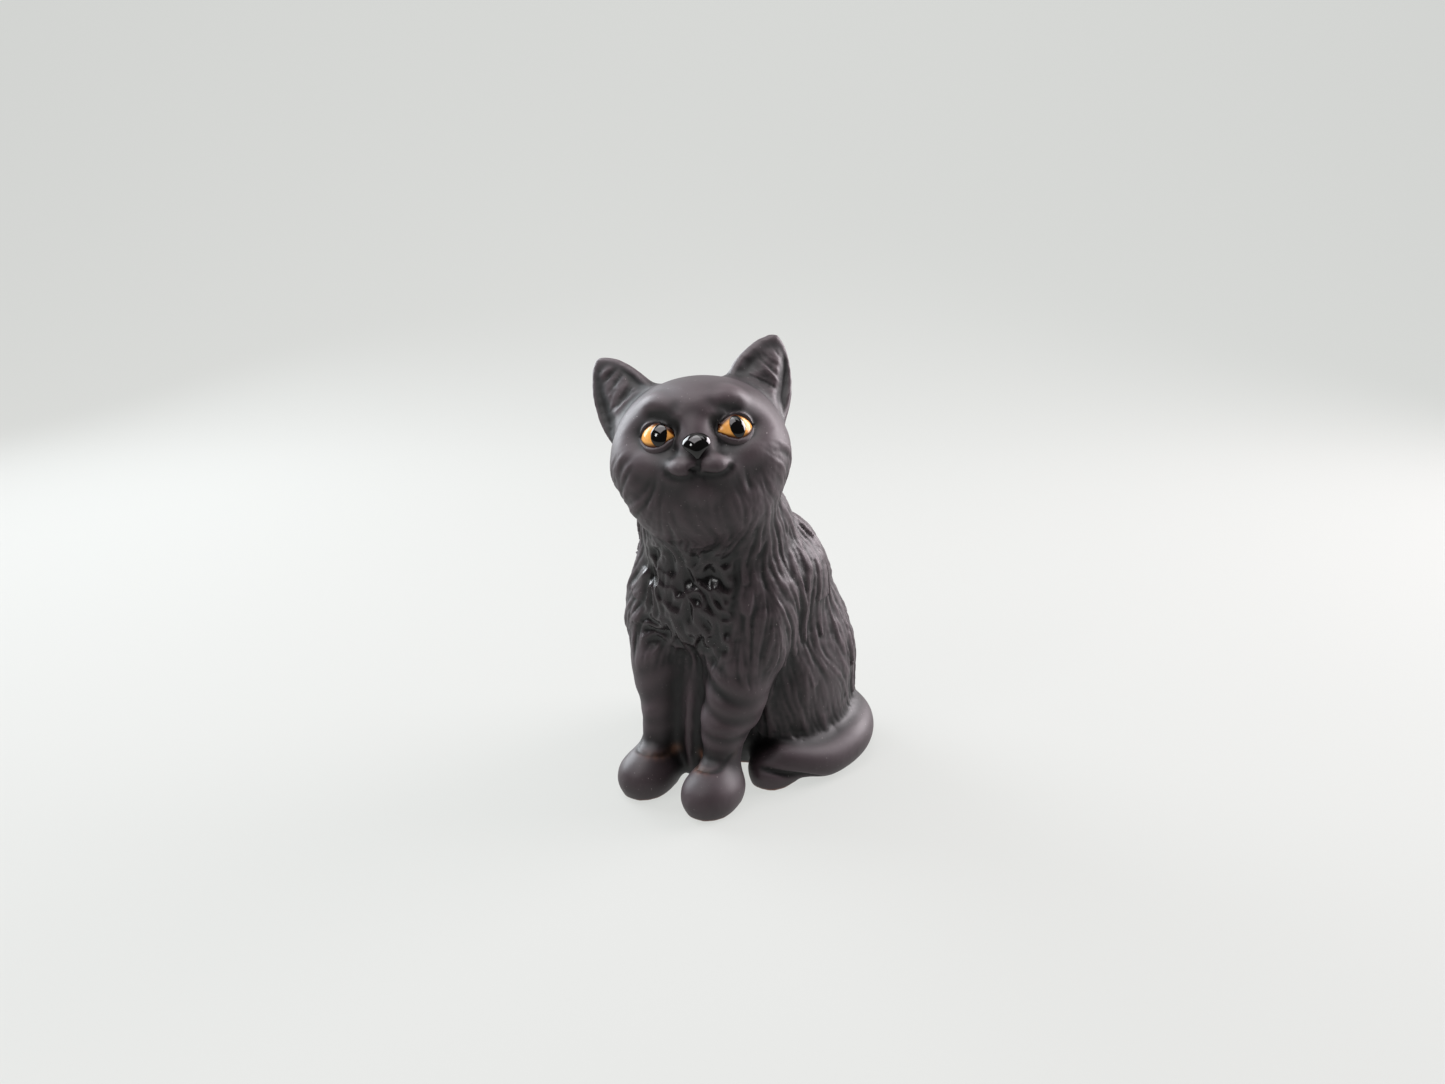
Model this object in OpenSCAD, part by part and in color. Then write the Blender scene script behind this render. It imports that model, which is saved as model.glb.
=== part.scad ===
/* Seated cat figurine in slip-cast ceramic, put together from separate castings that are luted with slip.
   Millimetres. +Z is up, the cat faces -Y and its own left side is +X. It stands on z = 0, and the origin
   is in that face, on the closing slab below the shoulders. */

/* [Body] */
// Width across the haunches
body_w = 78; // [66:1:92]
// Depth from the chest to the rump
body_d = 88; // [75:1:104]
// Height of the seam between the body and the head
neck_z = 96; // [82:1:115]
// Thickness of the cast wall
wall = 3.6; // [2.5:0.1:5]
// Height of the spigot on the neck that the head sits over
spigot_h = 3.5; // [3:0.5:5]
// Thickness of the spigot
spigot_t = 2.4; // [2:0.1:3]

/* [Head] */
// Width across the cheeks
head_w = 60; // [50:1:72]
// Depth from the brow to the back of the skull
head_d = 57; // [48:1:68]
// Height from the jaw to the crown
head_h = 52; // [44:1:62]
// Turn of the face towards the cat's left
head_turn = 27; // [0:1:40]
// How far the face looks up
head_lift = 25; // [10:1:40]
// How far the head leans to the cat's right
head_lean = 7; // [0:1:12]
// Thickness of the head's wall, deep enough for the eyes' seats
head_wall = 5.2; // [4.5:0.1:6.5]

/* [Ears] */
// Height of an ear above the skull
ear_h = 25; // [20:1:30]
// Width of an ear at its root
ear_w = 25; // [20:1:30]
// Thickness of an ear's rim
ear_rim = 2.6; // [2:0.1:4]

/* [Eyes and nose] */
// Distance between the middles of the eyes
eye_gap = 26.4; // [23.4:0.2:29]
// Diameter of the ball that the eye is a part of
eye_d = 15; // [12.5:0.5:18]
// Width of the eye opening
eye_w = 11.4; // [9.6:0.2:12.4]
// Height of the eye opening
eye_h = 8.6; // [7.2:0.2:10]
// Width of the pupil
pupil_w = 4.2; // [3:0.2:5.4]
// Height of the pupil
pupil_h = 7; // [5.6:0.2:7.8]
// Thickness of the pupil's enamel on the iris
enamel_t = 0.4; // [0.3:0.1:0.8]
// Width of the nose pad
nose_w = 9.2; // [7.6:0.2:10.2]
// Height of the nose pad
nose_h = 7.6; // [6:0.2:9]

/* [Legs] */
// Distance between the middles of the front paws
paw_gap = 26.4; // [22:0.2:34]
// Width of a front paw
paw_w = 21; // [17:0.5:26]
// Length of a hind foot
foot_l = 34; // [26:1:42]

/* [Tail] */
// Thickness of the tail at its root
tail_root = 19; // [14:0.5:24]
// Thickness of the tail near its tip
tail_tip = 9; // [6:0.5:12]

/* [Base] */
// Thickness of the slab that closes the hollow casting
slab_t = 4; // [3:0.5:6]
// Diameter of the firing vent in the slab
vent_d = 3.5; // [2:0.5:3.9]
// Clearance round the slab and the spigot, filled with slip
slip_gap = 0.15; // [0.1:0.05:0.4]

/* [Hidden] */

left = 1;
right = -1;

// ---- Turning, and blobs that melt into each other ----

function rot_x(a) = [[1, 0, 0], [0, cos(a), -sin(a)], [0, sin(a), cos(a)]];
function rot_y(a) = [[cos(a), 0, sin(a)], [0, 1, 0], [-sin(a), 0, cos(a)]];
function rot_z(a) = [[cos(a), -sin(a), 0], [sin(a), cos(a), 0], [0, 0, 1]];
function scaling(s) = [[s.x, 0, 0], [0, s.y, 0], [0, 0, s.z]];
function inverse(s) = [1 / s.x, 1 / s.y, 1 / s.z];

// A blob is [centre, radii, tilt about X], and grow stretches all of them together.
function ready(blobs, grow) = [for (b = blobs)
    [scaling(grow) * b[0],
     scaling(inverse(b[1])) * rot_x(is_undef(b[2]) ? 0 : -b[2]) * scaling(inverse(grow))]];

// How tightly blobs melt into each other.
blend = 4.5;

function sum_of(v) = v * [for (i = v) 1];
function fullness(p, blobs) = sum_of([for (b = blobs) let (v = b[1] * (p - b[0])) exp(blend * (1 - v * v))]);

// Distance from p along direction d to the skin of the blobs, halving the gap n times.
function reach(p, d, blobs, near, far, n) = n == 0 ? (near + far) / 2 :
    let (mid = (near + far) / 2, within = fullness(p + mid * d, blobs) > 1)
    reach(p, d, blobs, within ? mid : near, within ? far : mid, n - 1);

halvings = 12;
far_away = 70;

// A level ring of n points on the skin, at the height of centre, moved inwards by inset.
function level_ring(centre, blobs, n, inset = 0) = [for (i = [0 : n - 1])
    let (a = 360 * i / n, d = [cos(a), sin(a), 0])
    centre + d * max(reach(centre, d, blobs, 0, far_away, halvings) - inset, 1)];

// A skin over rings that all have the same number of points, closed by a fan at each end.
module closed_skin(rings) {
    n = len(rings[0]);
    last = len(rings) - 1;
    middle = function (ring) [for (k = [0 : 2]) sum_of([for (p = ring) p[k]]) / n];
    points = concat([for (r = rings) each r], [middle(rings[0]), middle(rings[last])]);
    sides = [for (j = [0 : last - 1], i = [0 : n - 1])
        let (a = j * n + i, b = j * n + (i + 1) % n)
        each [[a, a + n, b], [b, a + n, b + n]]];
    ends = [for (i = [0 : n - 1])
        each [[len(points) - 2, i, (i + 1) % n], [len(points) - 1, last * n + (i + 1) % n, last * n + i]]];
    polyhedron(points, concat(sides, ends));
}

// The same for rings that come back round to the first one, as the two sides of a tube's wall do.
module tube_skin(rings) {
    n = len(rings[0]);
    m = len(rings);
    polyhedron([for (r = rings) each r], [for (j = [0 : m - 1], i = [0 : n - 1])
        let (k = (j + 1) % m, h = (i + 1) % n)
        each [[j * n + i, k * n + i, j * n + h], [j * n + h, k * n + i, k * n + h]]]);
}

// ---- The sculpt: one skin that the castings are parts of ----

// Middle of the skull: a little to the cat's left, ahead of the slab, and this far above the seam.
skull_side = 0.6;
skull_ahead = 23;
skull_above = 29.5;
head_at = [skull_side, -skull_ahead, neck_z + skull_above];
head_pose = rot_z(head_turn) * rot_x(-head_lift) * rot_y(-head_lean);
head_unpose = [for (r = [0 : 2]) [for (c = [0 : 2]) head_pose[c][r]]];

// The sizes that the blobs below are drawn at, which the parameters stretch them from.
drawn_body = [78, 88, 96];
drawn_head = [60, 57, 52];
drawn_paw_w = 21;
drawn_foot_l = 34;

body_grow = [body_w / drawn_body.x, body_d / drawn_body.y, neck_z / drawn_body.z];
head_grow = [head_w / drawn_head.x, head_d / drawn_head.y, head_h / drawn_head.z];

body_blobs = ready([
    [[0, 19, 22], [32, 32, 37]],                // rump
    [[22, 17, 27], [16, 28, 34], 20],           // left haunch
    [[-22, 17, 27], [16, 28, 34], 20],          // right haunch
    [[0, 9, 57], [32.5, 31, 35], 18],           // ribs
    [[0, -13, 72], [31.5, 23, 30]],             // chest
    [[1, 4, 77], [32, 26, 22]],                 // shoulders
    [[0, -13, 98], [27.5, 25, 18]],             // ruff
    [[0, -20, 24], [8, 12, 30]]                 // web between the forelegs
], body_grow);

// Drawn round the middle of the skull, with the face towards -Y and level.
head_blobs = ready([
    [[0, 3, 1.5], [27.5, 25, 21]],              // skull
    [[0, -9, 5], [20, 17, 12]],                 // forehead
    [[14.5, -4, -7], [15, 17, 16]],             // left cheek
    [[-14.5, -4, -7], [15, 17, 16]],            // right cheek
    [[0, -4, -20], [23.5, 18, 15]],             // jaw
    [[5, -20, -13], [8, 7, 5.5]],               // left lip
    [[-5, -20, -13], [8, 7, 5.5]],              // right lip
    [[0, -20, -6], [6, 9, 6]],                  // bridge of the nose
    [[0, -15, -19], [9, 8, 6]]                  // chin
], head_grow);

// All of them, seen from the body's frame.
sculpt = concat(body_blobs, [for (b = head_blobs) [head_at + head_pose * b[0], b[1] * head_unpose]]);

module in_head()
    translate(head_at) rotate([0, 0, head_turn]) rotate([-head_lift, 0, 0]) rotate([0, -head_lean, 0])
    children();

// ---- Body, with a rebate under it for the slab and a spigot on the neck ----

function body_middle(z) = [0, lookup(z / neck_z, [[0, 8], [0.5, 4], [1, -10]]) * body_grow.y, z];

body_sides = 48;
body_rings = 30;
lining_rings = 14;
ledge = wall / 2;

function lifted(ring, z) = [for (p = ring) [p.x, p.y, z]];
function neck_ring(inset) = level_ring(body_middle(neck_z), sculpt, body_sides, inset);
function foot_ring(inset) = level_ring(body_middle(0), sculpt, body_sides, inset);
outer_rings = [for (j = [0 : body_rings])
    level_ring(body_middle(neck_z * j / body_rings), sculpt, body_sides)];

module body_skin() closed_skin(outer_rings);

// The wall is thicker at the neck, where it carries the spigot.
lining_inset = function (share) wall + (head_wall + slip_gap + spigot_t - wall) * pow(share, 6);

module body_casting() {
    color([0.16, 0.15, 0.16])
    tube_skin(concat(
        outer_rings,
        [neck_ring(head_wall + slip_gap),
         lifted(neck_ring(head_wall + slip_gap), neck_z + spigot_h),
         lifted(neck_ring(head_wall + slip_gap + spigot_t), neck_z + spigot_h)],
        [for (j = [lining_rings : -1 : 1])
            level_ring(body_middle(slab_t + (neck_z - slab_t) * j / lining_rings), sculpt, body_sides,
                       lining_inset(j / lining_rings))],
        [lifted(foot_ring(wall), slab_t),
         lifted(foot_ring(ledge), slab_t),
         foot_ring(ledge)]));
}

module base_slab() {
    color([0.85, 0.8, 0.74])
    difference() {
        linear_extrude(slab_t) polygon([for (p = foot_ring(ledge + slip_gap)) [p.x, p.y]]);
        translate([0, body_middle(0).y, -1]) cylinder(h = slab_t + 2, d = vent_d, $fn = 48);
    }
}

// ---- Head ----

head_rings = 36;
cavity_rings = 14;
head_top = head_at.z + reach(head_at, [0, 0, 1], sculpt, 0, far_away, halvings) - 0.05;

// The middle of the neck and the head, at a share of the way from the seam to the crown.
function head_middle(share, top) =
    let (low = body_middle(neck_z), k = min(share * 1.6, 1))
    [low.x + (head_at.x - low.x) * k, low.y + (head_at.y - low.y) * k, neck_z + (top - neck_z) * share];

// Rings from the seam to the crown, closer together near the crown.
function head_ring_list(m, top, inset) = [for (j = [0 : m])
    let (share = 0.5 * j / m + 0.5 * sin(90 * j / m))
    lifted(level_ring(head_middle(share, head_top), sculpt, body_sides, inset), head_middle(share, top).z)];

outer_head = head_ring_list(head_rings, head_top, 0);

module head_skin() closed_skin(outer_head);

module head_casting() {
    color([0.16, 0.15, 0.16])
    resize([0, 0, 0])
    difference() {
        head_skin();
        closed_skin(concat([lifted(neck_ring(head_wall), neck_z - 1)],
                           head_ring_list(cavity_rings, head_top - head_wall, head_wall)));
        closed_skin([lifted(neck_ring(head_wall), neck_z - 1),
                     lifted(neck_ring(head_wall), neck_z + spigot_h + slip_gap)]);
        in_head() for (side = [left, right]) in_eye(side) eye_prism(eye_w, eye_h, eye_seat, eye_d);
        in_head() in_nose() nose_prism(nose_seat, nose_ball_d);
    }
}

// ---- Eyes and nose ----

oval_sides = 32;
ball_sides = 64;
seat_depth = 3;
eye_seat = eye_d / 2 - seat_depth;
nose_ball_d = 11;
nose_seat = 2.5;

// Where the middle of each eye's ball and of the nose's lie in the head, and how they face.
ball_inset = 3.1;
eye_place = [eye_gap / 2 - ball_inset, -16.4 * head_grow.y, -1.8];
eye_upward = 84;
eye_outward = 25;
nose_place = [0, -24.6 * head_grow.y, -6.9];
nose_upward = 96;

module in_eye(side)
    translate([side * eye_place.x, eye_place.y, eye_place.z]) rotate([eye_upward, 0, side * eye_outward])
    children();

module eye_prism(w, h, from, to)
    translate([0, 0, from]) linear_extrude(to - from)
        polygon([for (i = [0 : oval_sides - 1])
            let (a = 360 * i / oval_sides)
            [w / 2 * cos(a), h / 2 * sin(a)]]);

module iris(side) {
    color([0.85, 0.5, 0.14])
    in_head() in_eye(side)
    intersection() {
        sphere(d = eye_d, $fn = ball_sides);
        eye_prism(eye_w, eye_h, eye_seat, eye_d);
    }
}

module pupil(side) {
    color([0.02, 0.02, 0.02])
    in_head() in_eye(side)
    difference() {
        intersection() {
            sphere(d = eye_d + 2 * enamel_t, $fn = ball_sides);
            eye_prism(pupil_w, pupil_h, eye_seat, eye_d);
        }
        sphere(d = eye_d, $fn = ball_sides);
    }
}

module in_nose() translate(nose_place) rotate([nose_upward, 0, 0]) children();

nose_flat = 0.16;
nose_taper = 0.35;

// A rounded triangle, point down.
module nose_prism(from, to)
    translate([0, 0, from]) linear_extrude(to - from)
        polygon([for (i = [0 : oval_sides - 1])
            let (a = 360 * i / oval_sides, r = 1 - nose_flat * (1 + sin(3 * a)) / 2)
            [nose_w / 2 * r * cos(a) * (1 + nose_taper * sin(a)), nose_h / 2 * r * sin(a)]]);

module nose_enamel() {
    color([0.03, 0.03, 0.03])
    in_head() in_nose()
    intersection() {
        sphere(d = nose_ball_d, $fn = ball_sides);
        nose_prism(nose_seat, nose_ball_d);
    }
}

// ---- Ears ----

// Where an ear's root lies in the head, its lean, and the thickness of its back.
ear_place = [20, 4, 12.5];
ear_lean = [-6, 26, 14];
ear_back = 5;
hollow_ahead = 4.7;
hollow_depth = 6;

// Half the width of an ear at a share t of its height.
function ear_half(t) = pow(1 - pow(max(t, 0), 1.7), 0.62);

// Rings of an ear from below its root to its tip.
function ear_rings(half_w, half_d, forward, from, to, n, m) = [for (j = [0 : m])
    let (t = from + (to - from) * j / m, h = ear_half(t))
    [for (i = [0 : n - 1]) let (a = 360 * i / n)
        [half_w * h * cos(a), forward * h + half_d * (0.35 + 0.65 * h) * sin(a), ear_h * t]]];

module ear(side) {
    color([0.14, 0.13, 0.14])
    resize([0, 0, 0])
    difference() {
        in_head()
            translate([side * ear_place.x, ear_place.y, ear_place.z])
            rotate([ear_lean.x, side * ear_lean.y, side * ear_lean.z])
            difference() {
                closed_skin(ear_rings(ear_w / 2, ear_back, 0, -0.3, 0.995, 28, 14));
                closed_skin(ear_rings(ear_w / 2 - ear_rim, hollow_depth, -hollow_ahead, -0.1, 0.88, 20, 10));
            }
        head_skin();
    }
}

// ---- Legs ----

leg_sides = 28;
leg_rings = 22;
leg_top = 0.81 * neck_z;
paw_ahead = 37;

leg_grow = [paw_w / drawn_paw_w, paw_w / drawn_paw_w, neck_z / drawn_body.z];
leg_blobs = [for (b = ready([
    [[4, 21, 64], [15, 16, 24]],                // upper arm
    [[2.4, 14, 44], [10.8, 12, 22]],            // forearm
    [[-0.4, 8.5, 23], [6.8, 7.8, 18]],          // wrist
    [[0, -0.4, 6], [10.7, 13, 10]],             // paw
    [[0, 7, 5], [8.6, 8.5, 8.5]]                // heel of the paw
], leg_grow)) [b[0] + [paw_gap / 2, -paw_ahead, 0], b[1]]];

function leg_middle(z) = [paw_gap / 2 + lookup(z, [[0, 0], [20, 0], [80, 4]]),
                          -paw_ahead + lookup(z, [[0, 3], [20, 8], [42, 14], [80, 21]]), z];

leg_ring_list = [for (j = [0 : leg_rings])
    level_ring(leg_middle(leg_top * j / leg_rings), leg_blobs, leg_sides)];

module on_side(side) mirror([side == left ? 0 : 1, 0, 0]) children();

module foreleg(side) {
    color([0.15, 0.14, 0.15])
    resize([0, 0, 0])
    difference() {
        on_side(side) closed_skin(leg_ring_list);
        body_skin();
        head_skin();
    }
}

// ---- Hind feet ----

foot_grow = [1, 1, 1] * foot_l / drawn_foot_l;
foot_at = [23, -9, 0];
foot_h = 14;
foot_rings = 9;
foot_sides = 26;
foot_blobs = [for (b = ready([
    [[0, 0, 5], [9.5, 12, 9.5]],                // toes
    [[1, 12, 5], [8, 14, 8]]                    // heel
], foot_grow)) [b[0] + foot_at, b[1]]];
foot_ring_list = [for (j = [0 : foot_rings])
    level_ring(foot_at + [0, 3, foot_h * foot_grow.z * pow(j / foot_rings, 0.8)], foot_blobs, foot_sides)];

module hind_foot(side) {
    color([0.15, 0.14, 0.15])
    resize([0, 0, 0])
    difference() {
        on_side(side) closed_skin(foot_ring_list);
        body_skin();
        on_side(side) closed_skin(leg_ring_list);
    }
}

// ---- Tail ----

// Points of the middle of the tail, from its root to its tip.
tail_route = [[-8, 30, 15], [6, 41.5, 11.5], [21, 42.5, 9.1], [33.5, 35, 8.6],
              [39.5, 20, 8], [37.5, 3, 7.1], [31, -8, 9.5], [23, -14, 13]];

// A smooth line through the points, at a share t of the way along them.
function along(points, t) =
    let (last = len(points) - 1, k = min(floor(t * last), last - 1), u = t * last - k,
         a = points[max(k - 1, 0)], b = points[k], c = points[k + 1], d = points[min(k + 2, last)])
    0.5 * (2 * b + (c - a) * u + (2 * a - 5 * b + 4 * c - d) * u * u + (3 * b - a - 3 * c + d) * u * u * u);

tail_sides = 20;
tail_rings = 36;
tail_round = 0.93;

// The tail's skin, flattened where it lies on the ground.
module tail_skin()
    closed_skin([for (j = [0 : tail_rings])
        let (t = j / tail_rings, p = along(tail_route, t),
             way = along(tail_route, min(t + 0.01, 1)) - along(tail_route, max(t - 0.01, 0)),
             across = cross([0, 0, 1], way) / norm(cross([0, 0, 1], way)),
             up = cross(way, across) / norm(cross(way, across)),
             past = max(t - tail_round, 0) / (1 - tail_round),
             r = sqrt(max(1 - past * past, 0.02)) * (tail_root + (tail_tip - tail_root) * pow(t, 2.5)) / 2)
        [for (i = [0 : tail_sides - 1])
            let (a = -360 * i / tail_sides, q = p + r * (cos(a) * across + sin(a) * up))
            [q.x, q.y, max(q.z, 0)]]]);

module tail() {
    color([0.15, 0.14, 0.15])
    resize([0, 0, 0])
    difference() {
        tail_skin();
        body_skin();
        closed_skin(foot_ring_list);
        closed_skin(leg_ring_list);
    }
}

body_casting();
head_casting();
ear(left);  // left_ear
ear(right);  // right_ear
foreleg(left);  // left_foreleg
foreleg(right);  // right_foreleg
hind_foot(left);  // left_hind_foot
hind_foot(right);  // right_hind_foot
tail();
base_slab();
iris(left);  // left_iris
iris(right);  // right_iris
pupil(left);  // left_pupil
pupil(right);  // right_pupil
nose_enamel();
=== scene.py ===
import math

import bpy
import numpy as np
from mathutils import Matrix, Vector, bvhtree


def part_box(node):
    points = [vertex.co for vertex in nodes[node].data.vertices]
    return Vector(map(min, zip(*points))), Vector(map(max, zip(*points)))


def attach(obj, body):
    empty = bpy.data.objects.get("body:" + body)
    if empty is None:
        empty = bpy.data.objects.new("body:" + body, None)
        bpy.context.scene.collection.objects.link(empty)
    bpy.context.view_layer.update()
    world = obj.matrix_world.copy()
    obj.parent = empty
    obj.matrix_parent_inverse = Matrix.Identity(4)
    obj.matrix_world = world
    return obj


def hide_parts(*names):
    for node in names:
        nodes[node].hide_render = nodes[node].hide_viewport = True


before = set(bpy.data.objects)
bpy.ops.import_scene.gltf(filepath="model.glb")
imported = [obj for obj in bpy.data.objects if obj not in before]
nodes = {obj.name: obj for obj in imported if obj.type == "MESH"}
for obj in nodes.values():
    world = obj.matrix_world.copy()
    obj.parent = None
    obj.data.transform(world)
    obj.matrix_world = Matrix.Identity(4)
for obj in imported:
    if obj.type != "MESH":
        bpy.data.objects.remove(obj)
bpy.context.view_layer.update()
MM = 0.001

# Grain of the clay before it is refined, in millimetres.
VOXEL = 1.15
# Below this height the skin belongs to the flat underside.
UNDERSIDE = 0.6
# How far out from a casting its share of the joined skin is looked for.
CASTING_REACH = 3.0

# The head's turn, lift and lean in degrees, as its casting has them.
HEAD_TURN, HEAD_LIFT, HEAD_LEAN = 27, -25, -7
HEAD_POSE = np.array((Matrix.Rotation(math.radians(HEAD_TURN), 3, "Z")
                      @ Matrix.Rotation(math.radians(HEAD_LIFT), 3, "X")
                      @ Matrix.Rotation(math.radians(HEAD_LEAN), 3, "Y")))


def middle_of(node):
    low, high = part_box(node)
    return np.array((low + high) / 2) / MM


# The middle of the skull, in millimetres: it lies behind the point halfway between the eyes.
EYES_MIDDLE = (middle_of("left_iris") + middle_of("right_iris")) / 2
SKULL_TO_EYES = np.array([0, -22.15, -1.2])
HEAD_AT = EYES_MIDDLE - HEAD_POSE @ SKULL_TO_EYES


def in_head(p):
    """Points given from the middle of the skull, face towards -Y, in the figure's own frame."""
    return HEAD_AT + np.asarray(p, float) @ HEAD_POSE.T


def from_head(p):
    """The figure's points, given from the middle of the skull."""
    return (p - HEAD_AT) @ HEAD_POSE


# Where an ear stands on the skull, its lean in degrees about X, Y and Z, and its size.
EAR_AT, EAR_LEAN = (20, 4, 12.5), (-6, 26, 14)
EAR_W, EAR_H = 25, 25

# Middle of a front paw, to either side.
PAW_X, PAW_Y = 13.2, -37.4

# The ball that an eye is cut from, the opening of the lids, and how far it drops at the outer corner in degrees.
EYE_BALL = 7.5
EYE_W, EYE_H = 11.6, 7.3
EYE_DROOP = 8

# The nose pad, and the ball that it lies on.
NOSE_W, NOSE_H, NOSE_BALL = 9.0, 9.0, 6.4


# ---- The clay: one skin over all the castings, smoothed and modelled before it is parted again ----

CASTINGS = ["body_casting", "head_casting", "left_ear", "right_ear", "left_foreleg", "right_foreleg",
            "left_hind_foot", "right_hind_foot", "tail", "base_slab"]


def only(obj):
    bpy.ops.object.select_all(action="DESELECT")
    obj.select_set(True)
    bpy.context.view_layer.objects.active = obj


def apply_all(obj):
    only(obj)
    for m in list(obj.modifiers):
        bpy.ops.object.modifier_apply(modifier=m.name)


def copy_of(name):
    """A welded copy of a casting, free of the frame."""
    obj = nodes[name].copy()
    obj.data = nodes[name].data.copy()
    obj.parent = None
    for key in list(obj.keys()):
        del obj[key]
    bpy.context.scene.collection.objects.link(obj)
    obj.data.materials.clear()
    only(obj)
    bpy.ops.object.mode_set(mode="EDIT")
    bpy.ops.mesh.select_all(action="SELECT")
    bpy.ops.mesh.remove_doubles(threshold=0.00002)
    bpy.ops.object.mode_set(mode="OBJECT")
    return obj


def joined_castings():
    """Copies of all the castings as one closed voxel skin."""
    copies = [copy_of(n) for n in CASTINGS]
    # The ears go in solid, and are hollowed afterwards, which leaves a round rim.
    for ear in copies[2:4]:
        only(ear)
        bpy.ops.object.mode_set(mode="EDIT")
        bpy.ops.mesh.select_all(action="SELECT")
        bpy.ops.mesh.convex_hull()
        bpy.ops.object.mode_set(mode="OBJECT")
    # A plug in the slab's vent, so that the linings are cut off from the outside.
    bpy.ops.mesh.primitive_cylinder_add(radius=5 * MM, depth=4 * MM, location=(0, 8 * MM, 2 * MM))
    copies.append(bpy.context.active_object)
    bpy.ops.object.select_all(action="DESELECT")
    for c in copies:
        c.select_set(True)
    bpy.context.view_layer.objects.active = copies[0]
    bpy.ops.object.join()
    clay = bpy.context.view_layer.objects.active
    clay.name = "clay"
    remesh = clay.modifiers.new("skin", "REMESH")
    remesh.mode = "VOXEL"
    remesh.voxel_size = VOXEL * MM
    apply_all(clay)
    return clay


def mesh_arrays(obj):
    """Points in millimetres, quads, and the material index of each quad."""
    me = obj.data
    v = np.zeros(len(me.vertices) * 3)
    me.vertices.foreach_get("co", v)
    f = np.zeros(len(me.loops), np.int64)
    me.loops.foreach_get("vertex_index", f)
    kind = np.zeros(len(me.polygons), np.int64)
    me.polygons.foreach_get("material_index", kind)
    return v.reshape(-1, 3) / MM, f.reshape(-1, 4), kind


def face_sums(f, x, count):
    """At each point, the sum of a value over the quads round it."""
    return sum(np.bincount(f[:, j], x, count) for j in range(4))


def edges_of(f):
    e = np.concatenate([f[:, [0, 1]], f[:, [1, 2]], f[:, [2, 3]], f[:, [3, 0]]])
    return np.unique(np.sort(e, 1), axis=0)


def outer_skin(v, f):
    """Drops the linings: keeps the largest connected skin."""
    label = np.arange(len(v))
    e = edges_of(f)
    while True:
        low = np.minimum(label[e[:, 0]], label[e[:, 1]])
        new = label.copy()
        np.minimum.at(new, e[:, 0], low)
        np.minimum.at(new, e[:, 1], low)
        new = new[new]
        new = new[new]
        if (new == label).all():
            break
        label = new
    keep = label == np.bincount(label).argmax()
    index = np.cumsum(keep) - 1
    return v[keep], index[f[keep[f[:, 0]]]]


class Clay:
    """A skin of quads that is pushed about in millimetres."""

    def __init__(self, v, f, kind=None):
        self.v, self.f, self.kind = v, f, kind
        self.e = edges_of(f)
        self.n = len(v)
        self.links = np.bincount(self.e.ravel(), minlength=self.n)

    def average(self, x):
        """Each point takes the mean of its neighbours."""
        out = np.zeros_like(x)
        a, b = self.e[:, 0], self.e[:, 1]
        flat = x.reshape(self.n, -1)
        res = out.reshape(self.n, -1)
        for k in range(flat.shape[1]):
            total = np.bincount(a, flat[b, k], self.n) + np.bincount(b, flat[a, k], self.n)
            res[:, k] = total / self.links
        return out

    def soften(self, times, weight=1.0):
        w = np.broadcast_to(np.asarray(weight, float), (self.n,))[:, None]
        for _ in range(times):
            self.v = self.v + 0.6 * w * (self.average(self.v) - self.v)

    def iron(self, times, weight):
        """Takes the bumps out without shrinking thin parts: a step in, then a slightly longer one out."""
        for _ in range(times):
            for step in (0.6, -0.62):
                self.v = self.v + step * weight[:, None] * (self.average(self.v) - self.v)

    def spread(self, x, times):
        for _ in range(times):
            x = self.average(x)
        return x

    def normals(self):
        p = self.v[self.f]
        c = np.cross(p[:, 2] - p[:, 0], p[:, 3] - p[:, 1])
        out = np.zeros((self.n, 3))
        for k in range(3):
            out[:, k] = face_sums(self.f, c[:, k], self.n)
        return out / np.maximum(np.linalg.norm(out, axis=1, keepdims=True), 1e-9)

    def shares(self):
        """At each point, the share of the quads round it that is on each casting."""
        quads = np.stack([face_sums(self.f, self.kind == k, self.n) for k in range(len(CASTINGS))], 1)
        return quads / quads.sum(1, keepdims=True)

    def on_skin(self, at):
        """The point of the skin nearest to a place."""
        return self.v[np.linalg.norm(self.v - at, axis=1).argmin()]

    def press(self, at, radius, amount):
        """A round dab of clay at a point: the skin is pushed out by amount, or in where that is negative."""
        d = np.linalg.norm((self.v - at) / radius, axis=1)
        near = np.where(d < 1)[0]
        fall = (1 - d[near] ** 2) ** 2
        self.v[near] += (amount * fall)[:, None] * self.normals()[near]

    def score(self, path, width, depth, steps=40):
        """A line drawn on the skin with a round tool along a path, faint at both ends."""
        t = np.linspace(0, 1, len(path))
        s = np.linspace(0, 1, steps)
        p = np.stack([np.interp(s, t, np.asarray(path)[:, k]) for k in range(3)], 1)
        margin = 3 * width + 4
        box = ((self.v > p.min(0) - margin) & (self.v < p.max(0) + margin)).all(1)
        near = np.where(box)[0]
        dist = np.linalg.norm(self.v[near, None] - p[None], axis=2)
        p = self.v[near[dist.argmin(0)]]
        for _ in range(12):
            p[1:-1] = (p[:-2] + p[1:-1] + p[2:]) / 3
        dist = np.linalg.norm(self.v[near, None] - p[None], axis=2)
        k = dist.argmin(1)
        d = dist[np.arange(len(near)), k]
        along = s[k]
        fade = np.clip(np.minimum(along, 1 - along) * 6 + 0.25, 0, 1)
        self.v[near] -= (depth * fade * np.exp(-(d / width) ** 2))[:, None] * self.normals()[near]


def smooth_step(x, low, high):
    t = np.clip((x - low) / (high - low), 0, 1)
    return t * t * (3 - 2 * t)


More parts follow.
